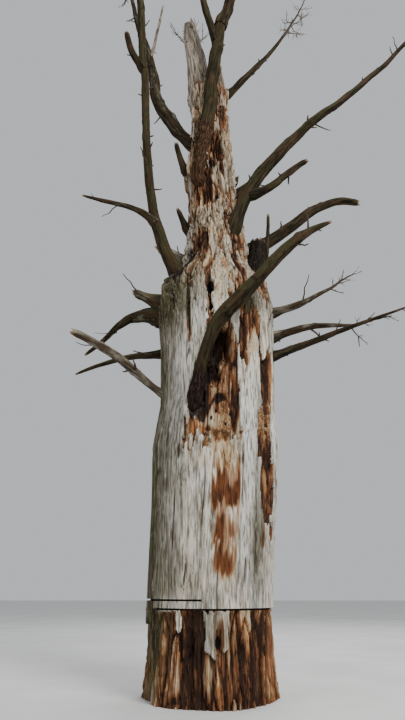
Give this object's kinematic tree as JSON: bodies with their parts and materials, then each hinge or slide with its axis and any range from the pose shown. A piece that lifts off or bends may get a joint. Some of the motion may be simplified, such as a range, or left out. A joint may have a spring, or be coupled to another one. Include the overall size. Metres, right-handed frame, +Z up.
{
  "type": "standing dead tree",
  "caption": "Standing dead broadleaf tree: a weathered, rotting trunk ringed by saw cuts, a splintered top, broken boughs and sparse bare twigs.",
  "frame": {"origin": "middle of the flat cut under the trunk, at ground level", "axes": "+Z up the trunk, +X to the right and +Y away, as the picture shows the tree"},
  "size_m": [5.8124, 4.5963, 13.273],
  "materials": {
    "trunk_wood": "bare weathered wood, silver grey with brown rot and dark hollows",
    "bough_wood": "dark weathered wood and old bark, with some moss",
    "twigs": "dry grey-brown dead twigs"
  },
  "bodies": {
    "root": {"trunk": "trunk_wood", "left_leader": "bough_wood", "left_leader_stub": "bough_wood", "left_side_limb": "bough_wood", "back_left_bough": "bough_wood", "pale_back_twig": "bough_wood", "left_spur": "bough_wood", "torn_stub": "bough_wood", "left_dark_stub": "bough_wood", "left_mossy_stub": "bough_wood", "left_bent_bough": "bough_wood", "left_bent_twin": "bough_wood", "left_low_bough": "bough_wood", "left_broken_log": "bough_wood", "front_bough": "bough_wood", "front_bough_spur": "bough_wood", "right_stump": "bough_wood", "right_high_bough": "bough_wood", "right_rising_bough": "bough_wood", "right_rising_fork": "bough_wood", "right_upper_fork": "bough_wood", "flaky_stub": "bough_wood", "right_mid_bough": "bough_wood", "right_twin_upper": "bough_wood", "right_twin_lower": "bough_wood", "upper_right_bough": "bough_wood", "crown_bough": "bough_wood", "crown_fork_right": "bough_wood", "crown_fork_left": "bough_wood", "back_top_bough": "bough_wood", "back_high_bough": "bough_wood", "back_mid_bough": "bough_wood", "back_low_bough": "bough_wood", "left_leader_twigs": "twigs", "back_left_twigs": "twigs", "crown_left_twigs": "twigs", "crown_right_twigs": "twigs", "upper_right_twigs": "twigs", "right_rising_twigs": "twigs", "right_mid_twigs": "twigs", "right_twin_upper_twigs": "twigs", "right_twin_lower_twigs": "twigs", "back_top_twigs": "twigs", "back_high_twigs": "twigs", "back_mid_twigs": "twigs", "back_low_twigs": "twigs"}
  },
  "joints": []
}
